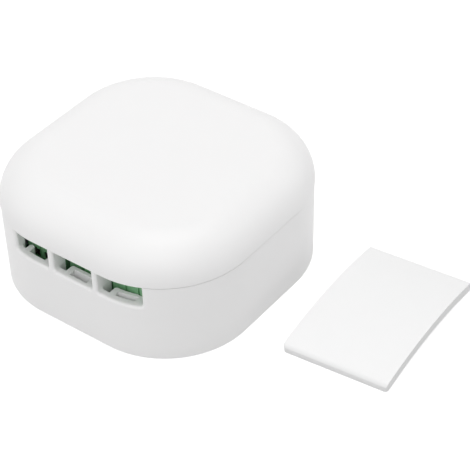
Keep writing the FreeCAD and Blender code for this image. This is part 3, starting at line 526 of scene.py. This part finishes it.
for number, (offset, radius, colour) in enumerate(bands_laid):
    band = bmesh.new()
    add_ring(band, (0, 0), radius, band_thickness, -band_half, band_half)
    place = Matrix.Translation((resistor_centre.x, resistor_centre.y + offset * mm, resistor_axis))
    laid_down = Matrix.Rotation(math.pi / 2, 4, "X")
    bmesh.ops.transform(band, matrix=place @ laid_down, verts=band.verts)
    bmesh.ops.recalc_face_normals(band, faces=band.faces)
    band_paint = new_finish(f"band_paint_{number}", colour, roughness=0.35)
    add_grain(band_paint, scale=1500, depth=30 * micron)
    piece(f"resistor_band_{number}", band, band_paint, "case")


# Radio: a small board that is soldered down by the half holes along two of its edges, with a
# nickel-silver shield over its parts and a ceramic chip antenna beside it.
radio_mask = new_finish("radio_mask", colour=(0.012, 0.02, 0.05), roughness=0.3)
add_uneven_colour(radio_mask, scale=1200, first=(0.01, 0.016, 0.042), second=(0.018, 0.028, 0.065))
add_grain(radio_mask, scale=7000, depth=10 * micron)
shield_metal = new_finish("shield_metal", colour=(0.56, 0.55, 0.52), roughness=0.4, metallic=1.0)
add_uneven_gloss(shield_metal, scale=900, low=0.34, high=0.5, stretch=(1, 14, 1))
add_grain(shield_metal, scale=1600, depth=10 * micron, stretch=(1, 16, 1))
ceramic = new_finish("antenna_ceramic", colour=(0.78, 0.76, 0.7), roughness=0.4)
add_uneven_colour(ceramic, scale=1400, first=(0.75, 0.73, 0.66), second=(0.82, 0.8, 0.74))
dress("radio_board", radio_mask)
dress("radio_shield", shield_metal)
dress("chip_antenna", ceramic)


# Pairing button, status lamp and control chip: a push switch with a black plunger in a stamped
# steel case, a lamp in pale resin and a moulded chip on bent legs. All are soldered to the board.
stamped_steel = new_finish("stamped_steel", colour=(0.6, 0.6, 0.6), roughness=0.3, metallic=1.0)
add_uneven_gloss(stamped_steel, scale=1400, low=0.24, high=0.42, stretch=(1, 8, 1))
add_grain(stamped_steel, scale=5200, depth=8 * micron)
button_black = new_finish("button_black", colour=(0.016, 0.016, 0.016), roughness=0.42)
add_grain(button_black, scale=3600, depth=14 * micron)
chip_black = new_finish("chip_black", colour=(0.02, 0.02, 0.021), roughness=0.5)
add_uneven_colour(chip_black, scale=1500, first=(0.016, 0.016, 0.017), second=(0.028, 0.028, 0.029))
add_grain(chip_black, scale=6000, depth=10 * micron)
lamp_resin = new_finish("lamp_resin", colour=(0.85, 0.8, 0.55), roughness=0.2)
lamp_resin.node_tree.nodes["Principled BSDF"].inputs["Transmission Weight"].default_value = 0.3
add_uneven_colour(lamp_resin, scale=2500, first=(0.8, 0.72, 0.4), second=(0.9, 0.88, 0.75))
dress("button_case", stamped_steel)
dress("button_plunger", button_black)
dress("control_chip", chip_black)
dress("status_lamp", lamp_resin)


# Small parts: black resistors and tan ceramic capacitors of 1.6 by 0.8 mm with tinned ends,
# soldered flat to the board in rows and columns. Places and sizes are in millimetres.
part_length, part_width = 1.05, 0.8
resistor_height, capacitor_height = 0.42, 0.55
end_length, end_width, end_over, end_offset = 0.28, 0.82, 0.03, 0.66
part_rounding = 0.05 * mm
row_places, row_start, row_pitch, row_shift, row_share = (4.6, 7.2, 9.4), -7.6, 2.7, 0.6, 0.45
outer_column, inner_column, column_start, column_pitch, column_lean = -24.4, -21.4, 6.2, 1.9, 0.2
front_row, front_step, front_start, front_pitch = -17.2, 0.2, -21.0, 1.9
corner_start, corner_pitch, corner_drop = (16.4, 21.4), 2.0, 1.1
even_share = 0.5
draw = random.Random(7)
resistors, capacitors, ends = bmesh.new(), bmesh.new(), bmesh.new()


def add_small_part(x, y, upright, is_capacitor):
    """Adds a body and its two ends at a place in millimetres."""
    height = capacitor_height if is_capacitor else resistor_height
    size = Vector((part_length, part_width, height)) * mm
    end_size = Vector((end_length, end_width, height + end_over)) * mm
    angle = math.pi / 2 if upright else 0.0
    along = Vector((math.cos(angle), math.sin(angle), 0))
    centre = Vector((x, y, 0)) * mm
    bodies = capacitors if is_capacitor else resistors
    add_bar(bodies, centre + Vector((0, 0, board_top + size.z / 2)), size, angle)
    for side in (-1, 1):
        spot = centre + along * side * end_offset * mm + Vector((0, 0, board_top + end_size.z / 2))
        add_bar(ends, spot, end_size, angle)


for row, y in enumerate(row_places):
    for step in range(6 - row):
        x = row_start + row_pitch * step + row_shift * row
        add_small_part(x, y, step % 3 == 2, draw.random() < row_share)
for step in range(4):
    y = column_start + column_pitch * step
    add_small_part(outer_column + column_lean * step, y, False, draw.random() < even_share)
    add_small_part(inner_column, y, False, draw.random() < even_share)
for step in range(4):
    y = front_row if step < 2 else front_row + front_step
    add_small_part(front_start + front_pitch * step, y, True, step % 2 == 0)
for step in range(3):
    x, y = corner_start[0] + corner_pitch * step, corner_start[1] - corner_drop * step
    add_small_part(x, y, True, draw.random() < even_share)
capacitor_tan = new_finish("capacitor_tan", colour=(0.42, 0.27, 0.15), roughness=0.42)
add_uneven_colour(capacitor_tan, scale=2500, first=(0.38, 0.24, 0.13), second=(0.46, 0.31, 0.18))
for bm in (resistors, capacitors, ends):
    bmesh.ops.bevel(bm, geom=bm.edges[:], offset=part_rounding, offset_type="OFFSET", segments=2, profile=0.5,
                    affect="EDGES", material=-1)
piece("small_resistors", resistors, chip_black, "case")
piece("small_capacitors", capacitors, capacitor_tan, "case")
piece("small_part_ends", ends, tin, "case")


# Solder joints: bright cones of tin on the underside of the board, one round every pin and lead,
# as the solder wave leaves them.
dress("solder_joints", tin)


# Top cover: the lid, one moulding in the same white ABS, with a lip, four pegs on bosses and a
# large quarter-round all round its top. It is pressed down on the base.
dress("top_cover", white_plastic)


# Mounting pad: closed-cell foam tape cut to 25 by 38 mm, a paper liner on each adhesive face. The
# blade went a little askew and pressed the two cut ends round. It lies loose beside the case,
# arched as it came off its roll.
pad_centre, pad_turn = (52.3 * mm, 10.1 * mm, 0), math.radians(3.5)
pad_place = Matrix.Translation(pad_centre) @ Matrix.Rotation(pad_turn, 4, "Z")
pad_width, pad_length = 25.0 * mm, 38.2 * mm
pad_corner, corner_segments = 0.8 * mm, 5
pad_skew = 0.032
pad_rise = 1.8 * mm
liner, foam_height = 0.12 * mm, 2.0 * mm
end_roll, end_drop = 1.3 * mm, 1.7 * mm
flat_rows, roll_rows, roll_degrees = 12, 10, 8
same_row, corner_tip, row_digits = 0.001 * mm, 0.01 * mm, 7
least_upward = 0.3
bend_radius = ((pad_length / 2) ** 2 + pad_rise ** 2) / (2 * pad_rise)
bend_angle = math.asin(pad_length / 2 / bend_radius)


def pad_layer(low, high, drop):
    """A layer of the pad between two heights, its top pressed down by drop at the two cut ends."""
    bm = bmesh.new()
    add_bar(bm, (0, 0, (low + high) / 2), (pad_width, pad_length, high - low))
    upright = [e for e in bm.edges if abs(e.verts[0].co.z - e.verts[1].co.z) > (high - low) / 2]
    bmesh.ops.bevel(bm, geom=upright, offset=pad_corner, offset_type="OFFSET", segments=corner_segments,
                    profile=0.5, affect="EDGES", material=-1)
    flat = pad_length / 2 - end_roll
    rows = [flat * step / flat_rows for step in range(flat_rows + 1)]
    rows += [flat + end_roll * math.sin(math.radians(roll_degrees * step)) for step in range(1, roll_rows + 1)]
    rows += [v.co.y for v in bm.verts if flat < v.co.y < pad_length / 2 - corner_tip]
    for y in sorted({round(side * row, row_digits) for row in rows for side in (-1, 1)}):
        bmesh.ops.bisect_plane(bm, geom=[*bm.verts, *bm.edges, *bm.faces], dist=same_row, plane_co=(0, y, 0),
                               plane_no=(0, 1, 0))
    for vert in bm.verts:
        past = min(1, max(0, (abs(vert.co.y) - flat) / end_roll))
        if vert.co.z > (low + high) / 2:
            vert.co.z -= drop * (1 - math.sqrt(1 - past ** 2))
        angle = bend_angle * vert.co.y / (pad_length / 2)
        radius = bend_radius + vert.co.z
        vert.co.y = radius * math.sin(angle) + pad_skew * vert.co.x
        vert.co.z = radius * math.cos(angle) + pad_rise - bend_radius
    bmesh.ops.transform(bm, matrix=pad_place, verts=bm.verts)
    bm.normal_update()
    return bm


foam_white = new_finish("foam_white", colour=(0.9, 0.9, 0.9), roughness=0.75)
add_uneven_colour(foam_white, scale=2200, first=(0.84, 0.84, 0.84), second=(0.93, 0.93, 0.93), detail=4.0)
add_grain(foam_white, scale=2600, depth=50 * micron, detail=4.0)
foam = piece("foam_pad", pad_layer(liner, liner + foam_height, end_drop), foam_white, "pad")
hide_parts("pad_foam")

liner_white = new_finish("liner_white", colour=(0.93, 0.93, 0.93), roughness=0.5)
add_uneven_colour(liner_white, scale=300, first=(0.93, 0.93, 0.93), second=(0.945, 0.945, 0.945))
add_grain(liner_white, scale=2400, depth=10 * micron)
sheet = pad_layer(liner, liner + foam_height, end_drop)
not_covered = [face for face in sheet.faces if face.normal.z < least_upward]
bmesh.ops.delete(sheet, geom=not_covered, context="FACES")
bmesh.ops.solidify(sheet, geom=sheet.faces[:], thickness=-liner)
bmesh.ops.recalc_face_normals(sheet, faces=sheet.faces)
top_liner = piece("top_liner", sheet, liner_white, "pad")
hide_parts("pad_liner_top")
bottom_liner = piece("bottom_liner", pad_layer(0, liner, 0), liner_white, "pad")
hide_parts("pad_liner_bottom")
